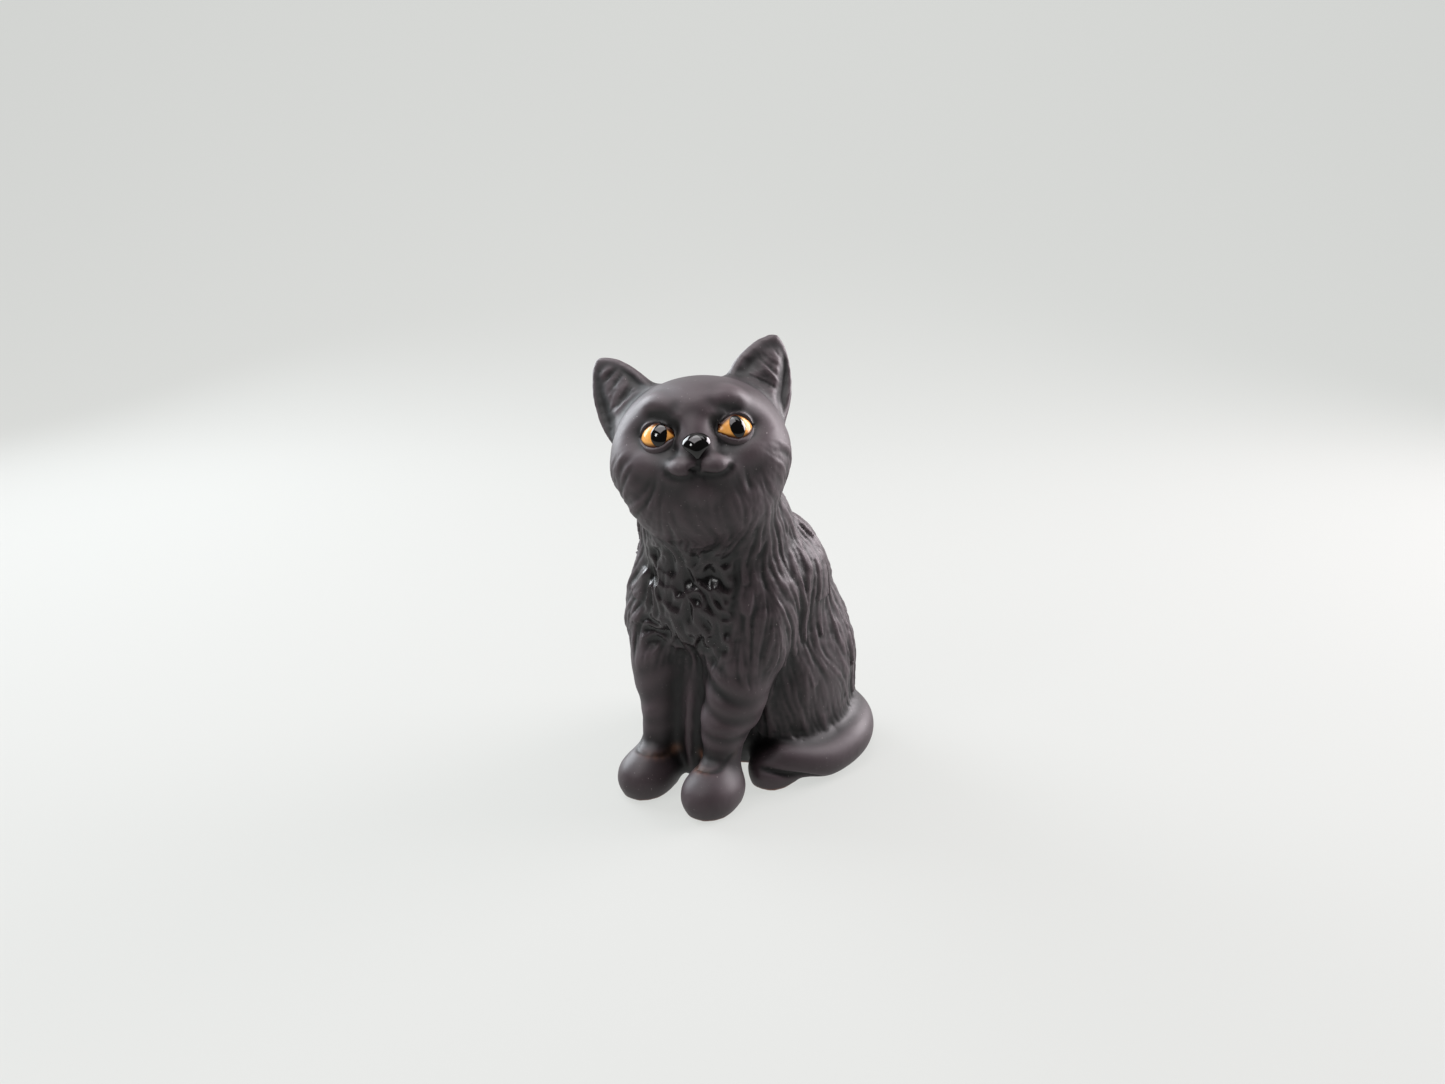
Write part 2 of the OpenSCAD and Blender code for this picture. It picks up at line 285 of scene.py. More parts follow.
def nearest_casting(points):
    """Which casting each point lies on: its place in CASTINGS."""
    best = np.full(len(points), 1e9)
    which = np.zeros(len(points), int)
    for k, name in enumerate(CASTINGS):
        me = nodes[name].data
        tree = bvhtree.BVHTree.FromPolygons([x.co / MM for x in me.vertices],
                                            [tuple(q.vertices) for q in me.polygons])
        low, high = (np.array(corner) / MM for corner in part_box(name))
        for i in np.where(((points > low - CASTING_REACH) & (points < high + CASTING_REACH)).all(1))[0]:
            hit, _, _, distance = tree.find_nearest(points[i], CASTING_REACH)
            if hit is not None and distance < best[i] - 0.02:
                best[i] = distance
                which[i] = k
    return which


def rough_clay():
    """The outer skin of the joined castings, with each quad marked by the casting that it lies on."""
    obj = joined_castings()
    v, f, _ = mesh_arrays(obj)
    v, f = outer_skin(v, f)
    clay = Clay(v, f)
    which = nearest_casting(v[f].mean(1))
    # Each face takes the casting that most of its neighbours are of, so that the borders run smooth.
    votes = np.stack([(which == k).astype(float) for k in range(len(CASTINGS))], 1)
    for _ in range(3):
        at_points = np.stack([face_sums(f, votes[:, k], clay.n) for k in range(votes.shape[1])], 1)
        at_points /= at_points.sum(1, keepdims=True)
        votes = at_points[f].mean(1)
    clay.kind = votes.argmax(1)
    bpy.data.objects.remove(obj)
    return clay


def smooth_castings(clay):
    """Wipes the joints smooth, and keeps the ears' rims and the flat underside."""
    shares = clay.shares()
    touches = {name: shares[:, k] > 0 for k, name in enumerate(CASTINGS)}
    ear = on_casting(clay, ["left_ear", "right_ear"], 3)
    joint = (shares > 0).sum(1) > 1
    joint = np.clip(clay.spread(joint.astype(float), 6) * 3, 0, 1)
    under = clay.v[:, 2] < UNDERSIDE
    limb = (touches["left_hind_foot"] | touches["right_hind_foot"]) & touches["tail"]
    crease = np.clip(clay.spread(limb.astype(float), 4) * 4, 0, 1)
    clay.iron(6, ear * ~under)
    clay.soften(12, np.clip(1 - 0.6 * ear, 0, 1) * ~under)
    clay.soften(20, joint * ~under * (1 - 0.5 * ear) * (1 - 0.85 * crease))
    clay.v[under, 2] = 0
    clay.v[:, 2] = np.maximum(clay.v[:, 2], 0)
    return clay


def finer(clay):
    """The same skin with every quad parted into four."""
    me = bpy.data.meshes.new("clay")
    me.from_pydata((clay.v * MM).tolist(), [], clay.f.tolist())
    for _ in CASTINGS:
        me.materials.append(None)
    me.polygons.foreach_set("material_index", clay.kind)
    obj = bpy.data.objects.new("clay", me)
    bpy.context.scene.collection.objects.link(obj)
    sub = obj.modifiers.new("finer", "SUBSURF")
    sub.levels = sub.render_levels = 1
    apply_all(obj)
    v, f, kind = mesh_arrays(obj)
    bpy.data.objects.remove(obj)
    return Clay(v, f, kind)


def on_casting(clay, names, spread):
    """How far each point is on those castings, from 0 to 1, with a soft border."""
    return clay.spread(clay.shares()[:, [CASTINGS.index(name) for name in names]].sum(1), spread)


def model_ears(clay):
    """Scoops each ear out from the front, deepest low down, up to a rim that is left round."""
    ears = smooth_step(on_casting(clay, ["left_ear", "right_ear"], 3), 0.25, 0.9)
    tall = smooth_step(clay.v[:, 2], 118, 156)
    right = on_casting(clay, ["right_ear"], 9)
    left = on_casting(clay, ["left_ear"], 9)
    clay.v = (clay.v + np.outer(right * (1.0 + 1.5 * tall), [-0.87, -0.5, 0.1])
              + np.outer(left * tall, [-0.8, -0.4, 1.6]))
    inside = np.zeros(clay.n)
    for side in (1, -1):
        moved = np.array([-1.5, -0.8, 0.1] if side < 0 else [-0.6, -0.3, 1.2]) @ HEAD_POSE
        lean = np.array(Matrix.Rotation(math.radians(side * EAR_LEAN[2]), 3, "Z")
                        @ Matrix.Rotation(math.radians(side * EAR_LEAN[1]), 3, "Y")
                        @ Matrix.Rotation(math.radians(EAR_LEAN[0]), 3, "X"))
        backwards = HEAD_POSE @ lean @ np.array([0.0, 1, 0])
        q = (from_head(clay.v) - moved - np.array([side * EAR_AT[0], EAR_AT[1], EAR_AT[2]])) @ lean
        n = clay.normals() @ HEAD_POSE @ lean
        t = q[:, 2] / EAR_H
        half = EAR_W / 2 * np.maximum(1 - np.clip(t, 0, 1) ** 1.7, 0) ** 0.62
        across = np.abs(q[:, 0] - side * 0.5) / np.maximum(half - 2.3, 0.3)
        bowl = np.clip(1 - across ** 2.6, 0, 1) ** 0.7 * smooth_step(-t, -0.93, -0.62)
        near = (np.abs(q[:, 0]) < 13) * (np.abs(q[:, 1]) < 9) * (t < 1.1)
        front = ears * smooth_step(-n[:, 1], 0.05, 0.5) * near
        scoop = 7 * bowl * front * (0.5 + 0.5 * smooth_step(-t, -0.8, -0.3))
        scoop = np.minimum(scoop, np.maximum(0.5 - q[:, 1], 0))
        clay.v = clay.v + np.outer(scoop, backwards)
        # Folds that run up from the root.
        fold = np.cos(q[:, 0] * 0.9 * side + 2.5 * t) * bowl * front * smooth_step(-t, -0.75, -0.3)
        clay.v = clay.v + np.outer(0.1 * fold, backwards)
        inside = np.maximum(inside, bowl * front)
    clay.soften(14, smooth_step(inside, 0.1, 0.5))


# ---- The face ----

def eye_frame(side):
    """The middle of an eye's ball, and its across, up and outward directions."""
    at = in_head([10.5, -16.4, -1.8] if side > 0 else [-10.1, -16.4, -1.8])
    splay = math.radians(25)
    out = np.array([side * math.sin(splay), -math.cos(splay), 0.1])
    out /= np.linalg.norm(out)
    across = np.cross([0, 0, -1], out)
    across /= np.linalg.norm(across)
    up = np.cross(across, out)
    if up[2] < 0:
        up = -up
    turn = math.radians(-side * EYE_DROOP)
    across, up = across * math.cos(turn) + up * math.sin(turn), up * math.cos(turn) - across * math.sin(turn)
    return at, HEAD_POSE @ across, HEAD_POSE @ up, HEAD_POSE @ out


def almond(a, b):
    """Below 1 inside the eye's opening: an oval that comes to a soft point at both corners."""
    x = np.abs(a) / (EYE_W / 2)
    lid = EYE_H / 2 * np.maximum(1 - x ** 2.1, 0.0) ** 0.85
    return np.where(x < 1, np.abs(b) / np.maximum(lid, 0.05), 9)


def nose_frame():
    """The middle of the nose pad's ball, and its across, up and outward directions."""
    at = in_head([0.3, -24.0, -7.6])
    lift = math.radians(4)
    across, out = np.array([1.0, 0, 0]), np.array([0, -math.cos(lift), math.sin(lift)])
    return at, HEAD_POSE @ across, HEAD_POSE @ -np.cross(across, out), HEAD_POSE @ out


def nose_outline(share, turn):
    """A rounded trapezoid, wide at the top, that runs to a V at the philtrum."""
    x, y = np.cos(turn), np.sin(turn)
    square = 1 / np.maximum((np.abs(x) ** 3 + np.abs(y) ** 3) ** (1 / 3), 1e-6)
    r = share * (0.35 + 0.65 * square)
    a, b = r * x, r * y
    narrow = 1 - 0.72 * smooth_step(-b, -0.3, 1.05)
    return NOSE_W / 2 * a * narrow, NOSE_H / 2 * b * 0.92


def model_masses(clay):
    """The large forms, while the clay is still coarse."""
    for s in (1, -1):
        clay.press(in_head([s * 14, -21.5, -1]), 12, -1.2)                # socket
        clay.press(in_head([s * 18, -18, -13]), 6.5, -0.8)                # hollow of the cheek
    clay.press([32, 30, 54], 30, 3.6)                                     # flank behind the ribs
    clay.press([-30, -12, 50], 24, 2.6)                                   # right shoulder
    clay.press([PAW_X, -32, 31], [12, 12, 15], 2.6)                       # thick left forearm
    clay.soften(3)


def model_face(clay):
    """Brows, corners of the eyes, cheeks, muzzle and lip, then a light smoothing of all but the eyes' level."""
    for s in (1, -1):
        clay.press(in_head([s * 7.0, -24, 0.5]), 4.6, -1.0)               # inner corner
        clay.press(in_head([s * 11, -22.5, 5.2]), [6, 6, 3.4], -1.2)      # shadow under the brow
        clay.press(in_head([s * 11.5, -20.5, 9.2]), [9, 8, 5], 1.4)       # brow
        clay.press(in_head([s * 4.6, -23.5, 6.0]), 3.8, -1.3)             # furrow at the brow's inner end
        clay.score([in_head(p) for p in ([s * 5.4, -25, 4.6], [s * 8.0, -24, 6.6], [s * 11.5, -23, 7.4],
                                         [s * 15.0, -21, 6.6])], 2.0, 0.3)  # line of the brow
        clay.press(in_head([s * 4.8, -26.5, -13.4]), [6.2, 6, 4.8], 1.9)  # whisker pad
        clay.press(in_head([s * 16, -20.5, -9.5]), 6.5, 0.8)              # cheek under the eye
        clay.press(in_head([s * 8.2, -25.5, -7.2]), 3.6, -0.9)            # beside the nose
    clay.press(in_head([0, -26, -1.5]), 6, 0.8)                           # bridge
    clay.press(in_head([0, -24.5, -22.4]), [7.5, 7, 5.4], 1.0)            # lower lip
    face = from_head(clay.v)
    clay.soften(5, (face[:, 1] < -10).astype(float) * (np.abs(face[:, 2] + 1.8) > 5.5))


def model_mouth(clay):
    """The smile to either side, the line down from the nose, and the small opening where they meet."""
    for s in (1, -1):
        clay.score([in_head(p) for p in ([0, -28.3, -17.0], [s * 2.6, -28, -17.7], [s * 5.4, -27, -17.2],
                                         [s * 8.2, -25.5, -15.4], [s * 10.4, -24, -12.9])], 1.3, 1.0)
    clay.score([in_head(p) for p in ([0, -30, -11.5], [0, -29, -14], [0, -28, -16.8])], 0.8, 0.8)
    clay.press(clay.on_skin(in_head([0, -29, -15.6])), [2.9, 2.6, 1.9], -1.5)


def model_legs(clay):
    """Creases over the paws, soft rolls down the forelegs, the ridge of the web and the tuft over it.
    Gives back where the glaze was wiped: over the creases, and off the foot of the figure."""
    wiped = np.zeros(clay.n)
    ankle, ankle_z = 8.5, 17.2
    for s in (1, -1):
        turns = [math.radians(a) for a in range(-100, 101, 20)]
        ring = [[s * PAW_X + ankle * math.sin(a), PAW_Y + 4 - ankle * math.cos(a),
                 ankle_z + 2.2 * s * math.sin(a)] for a in turns]
        clay.score(ring, 0.8, 0.4)
        far = np.linalg.norm(clay.v[:, None] - np.array(ring)[None], axis=2).min(1)
        wiped = np.maximum(wiped, np.exp(-(far / 1.6) ** 2))
    x, y, z = clay.v.T
    n = clay.normals()
    for s in (1, -1):
        leg = (np.exp(-((x - s * (PAW_X + 1)) / 9) ** 2) * smooth_step(-y, 15, 24)
               * smooth_step(z, 20, 27) * smooth_step(-z, -56, -48))
        roll = np.sin(2 * math.pi * (z + 0.35 * s * x) / 8.5 + wander(clay.v, 30, 8) * 1.5)
        clay.v = clay.v + n * ((0.5 if s > 0 else 0.22) * leg * roll)[:, None]
    for s, spot in ((0.6, 34), (0.4, 26), (0, 18), (0, 10)):
        clay.press([s, -33, spot], [2.6, 5, 8], 0.9)                      # ridge down the web
    clay.press([0.5, -38, 46], [7, 7, 9], 1.6)                            # tuft over it
    clay.press([2.0, -36, 39], [3.5, 6, 6], 1.5)                          # and its point
    clay.score([[39, -3, 1.5], [36, -9, 4], [30, -16, 7], [22, -20, 9.5]], 1.3, 1.5)  # tail over the hind foot
    return np.maximum(wiped * (clay.v[:, 1] < -20), smooth_step(-clay.v[:, 2], -1.3, -0.5))


def open_eyes(clay):
    """Sinks the skin behind the eye and rolls a lid over the ball round it."""
    for side in (1, -1):
        at, across, up, out = eye_frame(side)
        q = clay.v - at
        c = q @ out
        a, b = q @ across, q @ up
        near = np.where((c > 0) & (np.abs(a) < 14) & (np.abs(b) < 12))[0]
        q, a, b = q[near], a[near], b[near]
        rho = np.linalg.norm(q, axis=1)
        reach = np.hypot(a / (EYE_W / 2), b / (EYE_H / 2))
        a, b = a * EYE_BALL / rho, b * EYE_BALL / rho
        lid = EYE_BALL + 0.45 + 0.45 * smooth_step(b, 0, 3)
        round_it = smooth_step(reach, 2.15, 1.3)
        inside = smooth_step(almond(a, b), 1.12, 0.94) * (reach < 1.7)
        target = rho + (lid - rho) * round_it
        target = target + (EYE_BALL - 1.4 - target) * inside
        clay.v[near] = at + q / rho[:, None] * target[:, None]
        q = clay.v - at
        reach = np.hypot(q @ across / (EYE_W / 2), q @ up / (EYE_H / 2))
        clay.soften(40, smooth_step(reach, 1.45, 1.9) * smooth_step(-reach, -3.6, -2.6) * (q @ out > 0))


# ---- Fur ----

# Width of a hair, tress, lock or curl in millimetres, how many millimetres it is drawn along the coat, and its seed.
HAIR, TRESS, LOCK, CURL = (1.35, 7, 1), (3.2, 11, 2), (4.6, 15, 3), (3.3, 2, 4)
# How high the coat stands, in millimetres.
MANE, UPPER_ARM, RUFF, BIB = 1.15, 1.05, 0.75, 0.42


def wander(p, size, seed):
    """Smooth noise from -1 to 1, with hills about that many millimetres across."""
    rng = np.random.default_rng(seed)
    out = np.zeros(len(p))
    for _ in range(6):
        k = rng.normal(size=3)
        k *= 2 * math.pi / size / np.linalg.norm(k) * rng.uniform(0.5, 1.1)
        out += np.sin(p @ k + rng.uniform(0, 2 * math.pi))
    return out / 3.2


def lattice(p, cell, seed):
    """Finer noise from 0 to 1, on a lattice of that many millimetres."""
    q = p / cell
    low = np.floor(q).astype(np.int64)
    t = q - low
    t = t * t * (3 - 2 * t)
    out = np.zeros(len(p))
    for corner in range(8):
        step = np.array([corner & 1, corner >> 1 & 1, corner >> 2 & 1])
        k = low + step
        h = (k[:, 0] * 73856093) ^ (k[:, 1] * 19349663) ^ (k[:, 2] * 83492791) ^ (seed * 7919)
        h = ((h ^ (h >> 13)) * 1274126177) & 0xFFFFFFFF
        h = ((h ^ (h >> 15)) * 2246822519) & 0xFFFFFFFF
        out += np.where(step, t, 1 - t).prod(1) * ((h ^ (h >> 16)) & 0xFFFF) / 65535
    return out


class Flow:
    """The way the coat lies, kept on a grid so that a lock can be followed from any point."""

    def __init__(self, points, lie, cell=2.0):
        self.low, self.cell = points.min(0) - 3 * cell, cell
        self.size = (np.ceil((points.max(0) - self.low) / cell) + 4).astype(int)
        index = self.place(points)
        grid = np.stack([np.bincount(index, lie[:, k], self.size.prod()) for k in range(3)], 1)
        grid = grid.reshape(*self.size, 3)
        for _ in range(2):
            grid = grid + sum(np.roll(grid, way, axis) for axis in range(3) for way in (1, -1)) * 0.4
        grid = grid.reshape(-1, 3)
        self.grid = grid / np.maximum(np.linalg.norm(grid, axis=1, keepdims=True), 1e-6)

    def place(self, p):
        i = np.clip(((p - self.low) / self.cell).astype(int), 0, self.size - 1)
        return (i[:, 0] * self.size[1] + i[:, 1]) * self.size[2] + i[:, 2]

    def walk(self, p, steps, stride):
        for _ in range(steps):
            p = p + stride * self.grid[self.place(p)]
            yield p


def strands(p, flow, cell, run, seed):
    """Noise drawn out along the coat, from about -1 to 1."""
    total = lattice(p, cell, seed)
    for stride in (1.0, -1.0):
        for q in flow.walk(p, run, stride):
            total += lattice(q, cell, seed)
    return (total - total.mean()) / (2 * total.std())


def locks(p, flow, cell, run, seed):
    """Locks that swell from root to point and lie over the next ones, from 0 to 1."""
    high = np.zeros(len(p))
    for k, q in enumerate(flow.walk(p, run, -1.0)):
        share = (k + 1) / run
        root = smooth_step(lattice(q, cell, seed), 0.42 + 0.38 * share ** 1.5, 0.88)
        high = np.maximum(high, root * (0.35 + 0.65 * share))
    return high


def fur_maps(clay, n):
    """How high the coat stands at each point, which way it lies, and where the chest's curls are."""
    v = clay.v
    x, y, z = v.T
    h = from_head(v)
    shares = clay.shares()
    on = {name: clay.spread(shares[:, k], 10) for k, name in enumerate(CASTINGS)}
    # The mane on the shoulders, back and flanks goes down to the skirt over the tail.
    height = MANE * on["body_casting"] * smooth_step(z, 10, 24)
    # The upper arms carry it down to the elbow.
    height += UPPER_ARM * (on["left_foreleg"] + on["right_foreleg"]) * smooth_step(z, 40, 56)
    # The middle of each haunch is smooth.
    haunch = np.exp(-(((np.abs(x) - 36) / 14) ** 2 + ((y - 6) / 13) ** 2 + ((z - 34) / 17) ** 2))
    height *= 1 - 0.75 * haunch
    # So is the web between the forelegs.
    web = smooth_step(-y, 12, 20) * smooth_step(-z, -40, -30) * smooth_step(-np.abs(x), -14, -10)
    height *= 1 - 0.85 * web
    # The chest has short curling tufts, and the coat dies away below them.
    breast = smooth_step(-y, 18, 27)
    chest = breast * smooth_step(z, 50, 60) * smooth_step(-z, -96, -89) * smooth_step(-np.abs(x), -21, -14)
    height *= 1 - 0.8 * breast * smooth_step(-z, -52, -40) * smooth_step(-np.abs(x), -24, -16)
    # The ruff is below the jaw and behind the cheeks, and the bib under the chin.
    head = on["head_casting"]
    back_of_head = smooth_step(h[:, 1], -14, 2)
    low_face = smooth_step(-h[:, 2], 12, 20)
    jowl = smooth_step(np.abs(h[:, 0]), 8, 16)
    cheek = smooth_step(np.abs(h[:, 0]), 19, 25) * smooth_step(-h[:, 2], 2, 9)
    ruff = head * np.maximum(back_of_head * smooth_step(-h[:, 2], -6, 6), np.maximum(low_face * jowl, cheek))
    bib = head * smooth_step(-h[:, 2], 19, 26) * (1 - jowl)
    height += RUFF * ruff + BIB * bib
    # There is none on the tail, the hind feet and the ears.
    bald = ("tail", "left_hind_foot", "right_hind_foot", "left_ear", "right_ear")
    height *= 1 - np.clip(sum(on[name] for name in bald), 0, 1)
    # The coat lies down, swept to the back on the flanks and away from the face on the head.
    lie = np.tile([0.0, 0.0, -1.0], (clay.n, 1))
    lie[:, 1] += 0.35 * smooth_step(y, -20, 10) * (1 - smooth_step(y, 30, 45))
    lie[:, 0] += 0.25 * np.sign(x) * smooth_step(np.abs(x), 4, 20)
    away = h.copy()
    away[:, 1] += 30
    away = away / np.linalg.norm(away, axis=1, keepdims=True) @ HEAD_POSE.T
    lie += 1.6 * head[:, None] * away
    sway = wander(v, 24, 3) * 0.45 + wander(v, 10, 5) * 0.25 + chest * wander(v, 9, 4) * 0.9
    side = np.cross(n, lie)
    side /= np.maximum(np.linalg.norm(side, axis=1, keepdims=True), 1e-6)
    lie = lie / np.linalg.norm(lie, axis=1, keepdims=True) + side * sway[:, None]
    lie -= n * (lie * n).sum(1, keepdims=True)
    lie /= np.maximum(np.linalg.norm(lie, axis=1, keepdims=True), 1e-6)
    return height, lie, chest


def comb_fur(clay):
    """Combs the coat into the clay: broad locks, the hairs in them, and short curls on the chest."""
    n = clay.normals()
    height, lie, chest = fur_maps(clay, n)
    furry = np.where(height > 0.03)[0]
    p = clay.v[furry]
    flow = Flow(p, lie[furry])
    hair = strands(p, flow, *HAIR)
    tress = strands(p, flow, *TRESS)
    lock = locks(p, flow, *LOCK)
    curl = strands(p, flow, *CURL)
    c = chest[furry]
    coat = 0.4 * hair + 0.34 * tress + 0.7 * lock
    curls = 0.18 * hair + 0.15 * tress + 1.05 * (0.8 - np.abs(curl) * 1.3)
    relief = np.zeros(clay.n)
    relief[furry] = coat * (1 - c) + curls * c - 0.45
    clay.v = clay.v + n * (height * relief)[:, None]
    return chest


def glaze_and_painted_light(clay):
    """How pale the glaze is painted, from 0 in hollows to 1 on the raised fur: the glaze's own pooling and thinning,
    with painted shade in the hollows and painted highlight on the ridges.
    It is painted darker, as painted shade, in the ears, round the eyes and muzzle, and low down on the paws and
    tail."""
    n = clay.normals()
    facing = smooth_step(-(n @ HEAD_POSE)[:, 1], 0.1, 0.5)
    # Painted shade: darker low down on the paws and tail, and on the fronts of the ears.
    thick = 0.22 * smooth_step(-clay.v[:, 2], -34, -16)
    thick += 0.4 * on_casting(clay, ["left_ear", "right_ear"], 3) * facing
    # Painted shade at the inner corner, brow, outer corner, beside the nose and end of the mouth: place in the head,
    # and reach.
    for s in (1, -1):
        for spot, reach in (([s * 7.0, -24, 3.6], 4.5), ([s * 11, -22.5, 6.0], 5), ([s * 17.5, -19, 1.0], 4),
                            ([s * 9.0, -25.5, -9.5], 4.5), ([s * 9.5, -24.5, -15.5], 5)):
            thick += 0.3 * np.exp(-(np.linalg.norm(clay.v - in_head(spot), axis=1) / reach) ** 2)
    # From the skin's curving: darker in hollows and paler on raised fur, the glaze's pooling and thinning with
    # painted shade and painted highlight.
    near = clay.spread(clay.v, 8)
    wide = clay.spread(near, 50)
    fine, broad = ((near - clay.v) * n).sum(1), ((wide - clay.v) * n).sum(1)
    return np.clip(0.44 - thick - 2.7 * clay.average(fine) - 0.7 * broad, 0, 1)


clay = smooth_castings(rough_clay())
model_ears(clay)
model_masses(clay)
clay = finer(clay)
wiped = model_legs(clay)
open_eyes(clay)
model_face(clay)
model_mouth(clay)
chest = comb_fur(clay)
# How pale the glaze is painted: its pooling and thinning, with painted shade and painted highlight.
thin_glaze_and_painted_light = glaze_and_painted_light(clay)


# ---- Parting the skin into its castings again ----

def set_vertex_value(me, name, values):
    layer = me.attributes.new(name, "FLOAT", "POINT")
    layer.data.foreach_set("value", values.astype(np.float32))


# How far the skirt of a cut goes in, and the height that it stays above the ground, in millimetres.
CAP_DEPTH, CAP_CLEAR = 1.6, 0.3


def part_casting(clay, name, values, normals):
    """The skin of one casting, closed where it meets the others, with the normals of the whole skin."""
    f = clay.f[clay.kind == CASTINGS.index(name)]
    used = np.unique(f)
    index = np.full(clay.n, -1)
    index[used] = np.arange(len(used))
    f = index[f]
    v = clay.v[used]
    half = np.concatenate([f[:, [0, 1]], f[:, [1, 2]], f[:, [2, 3]], f[:, [3, 0]]]).astype(np.int64)
    rim = half[~np.isin(half[:, 0] * len(v) + half[:, 1], half[:, 1] * len(v) + half[:, 0])]
    # Each border gets the lowest of its points as its number.
    group = np.arange(len(v))
    settled = False
    while not settled:
        low = np.minimum(group[rim[:, 0]], group[rim[:, 1]])
        before = group.copy()
        np.minimum.at(group, rim[:, 0], low)
        np.minimum.at(group, rim[:, 1], low)
        group = group[group]
        settled = (before == group).all()
    points = list(map(tuple, v * MM))
    faces = f.tolist()
    for g in np.unique(group[rim[:, 0]]):
        ring = rim[group[rim[:, 0]] == g]
        # A skirt that goes straight in from the border, then a fan across.
        inner = {int(a): len(points) + k for k, a in enumerate(ring[:, 0])}
        drop = v[ring[:, 0]] - normals[used[ring[:, 0]]] * CAP_DEPTH
        drop[:, 2] = np.maximum(drop[:, 2], CAP_CLEAR)
        points += list(map(tuple, drop * MM))
        points.append(tuple(drop.mean(0) * MM))
        for a, b in ring.tolist():
            faces += [(b, a, inner[a], inner[b]), (inner[b], inner[a], len(points) - 1)]
    me = bpy.data.meshes.new(name + "_skin")
    me.from_pydata(points, [], faces)
    me.update()
    caps = len(points) - len(used)
    for value_name, x in values.items():
        set_vertex_value(me, value_name, np.concatenate([x[used], np.zeros(caps)]))
    me.polygons.foreach_set("use_smooth", [True] * len(f) + [False] * (len(faces) - len(f)))
    me.normals_split_custom_set_from_vertices(np.concatenate([normals[used], np.zeros((caps, 3))]))
    obj = bpy.data.objects.new(name.replace("_casting", "") + "_skin", me)
    bpy.context.scene.collection.objects.link(obj)
    return obj


# ---- Materials ----

def colour(hexa):
    """sRGB hex to linear."""
    c = [int(hexa[i:i + 2], 16) / 255 for i in (1, 3, 5)]
    return [x / 12.92 if x <= 0.04045 else ((x + 0.055) / 1.055) ** 2.4 for x in c] + [1.0]


def add(tree, kind, links=None, **settings):
    """A node with its settings, and the links into its sockets."""
    node = tree.nodes.new(kind)
    for key, value in settings.items():
        setattr(node, key, value)
    for socket, source in (links or {}).items():
        if isinstance(source, bpy.types.NodeSocket):
            tree.links.new(source, node.inputs[socket])
        else:
            node.inputs[socket].default_value = source
    return node


def new_material(name):
    """An empty material, with its node tree and its output."""
    mat = bpy.data.materials.new(name)
    mat.use_nodes = True
    tree = mat.node_tree
    tree.nodes.clear()
    out = add(tree, "ShaderNodeOutputMaterial")
    return mat, tree, out


# Pattern scales per metre: clouds of 22 mm and grain of 0.7 mm in the glaze, brush marks of 2.4 mm in the amber.
CLOUD_SCALE, GRAIN_SCALE, BRUSH_SCALE = 45.0, 1400.0, 420.0


def satin_glaze():
    """Near-black satin glaze: browner on the raised fur, where the glaze is thinner and a painted highlight is
    added, and darkest in the hollows under painted shade; bare brown where it was wiped off the foot and over the
    paws, with a few pale specks of dust fired into it."""
    mat, tree, out = new_material("satin_black_glaze")
    where = add(tree, "ShaderNodeTexCoord").outputs["Object"]
    # How pale the glaze is painted: its pooling and thinning, with painted shade and painted highlight.
    depth = add(tree, "ShaderNodeAttribute", attribute_name="thin_glaze_and_painted_light").outputs["Fac"]
    chest = add(tree, "ShaderNodeAttribute", attribute_name="chest").outputs["Fac"]
    wiped = add(tree, "ShaderNodeAttribute", attribute_name="wiped").outputs["Fac"]
    cloud = add(tree, "ShaderNodeTexNoise", {
        "Vector": where, "Scale": CLOUD_SCALE, "Detail": 4.0}).outputs["Fac"]
    grain = add(tree, "ShaderNodeTexNoise", {
        "Vector": where, "Scale": GRAIN_SCALE, "Detail": 2.0}).outputs["Fac"]
    # From pooled glaze under painted shade to thinner glaze under painted highlight.
    thin_glaze_and_painted_light = add(tree, "ShaderNodeMix", {
        "Factor": cloud, 6: colour("#2f2729"), 7: colour("#473b40")}, data_type="RGBA").outputs[2]
    tone = add(tree, "ShaderNodeMix", {
        "Factor": depth, 6: colour("#070506"), 7: thin_glaze_and_painted_light}, data_type="RGBA").outputs[2]
    # The recessed chest is painted darker, as painted shade; its glaze is also glossier.
    chest_shade = add(tree, "ShaderNodeMath", {0: chest, 1: 0.6}, operation="MULTIPLY").outputs[0]
    tone = add(tree, "ShaderNodeMix", {
        "Factor": chest_shade, 6: tone, 7: colour("#0a0708")}, data_type="RGBA").outputs[2]
    # Bare clay shows in patches where it was wiped.
    broken = add(tree, "ShaderNodeMath", {0: wiped, 1: cloud}, operation="MULTIPLY").outputs[0]
    tone = add(tree, "ShaderNodeMix", {
        "Factor": broken, 6: tone, 7: colour("#9c6c52")}, data_type="RGBA").outputs[2]
    # Dust is the highest grains.
    dust = add(tree, "ShaderNodeMapRange", {
        "Value": grain, "From Min": 0.72, "From Max": 0.78, "To Min": 0.0, "To Max": 0.5}).outputs["Result"]
    tone = add(tree, "ShaderNodeMix", {
        "Factor": dust, 6: tone, 7: colour("#a79f9d")}, data_type="RGBA").outputs[2]
    satin = add(tree, "ShaderNodeMapRange", {
        "Value": cloud, "From Min": 0.3, "From Max": 0.7, "To Min": 0.48, "To Max": 0.6}).outputs["Result"]
    rough = add(tree, "ShaderNodeMapRange", {"Value": chest, "To Min": satin, "To Max": 0.27}).outputs["Result"]
    bump = add(tree, "ShaderNodeBump", {"Height": grain, "Strength": 0.08, "Distance": 0.2 * MM}).outputs["Normal"]
    shader = add(tree, "ShaderNodeBsdfPrincipled", {
        "Base Color": tone, "Roughness": rough, "IOR": 1.45, "Normal": bump})
    tree.links.new(shader.outputs[0], out.inputs["Surface"])
    return mat


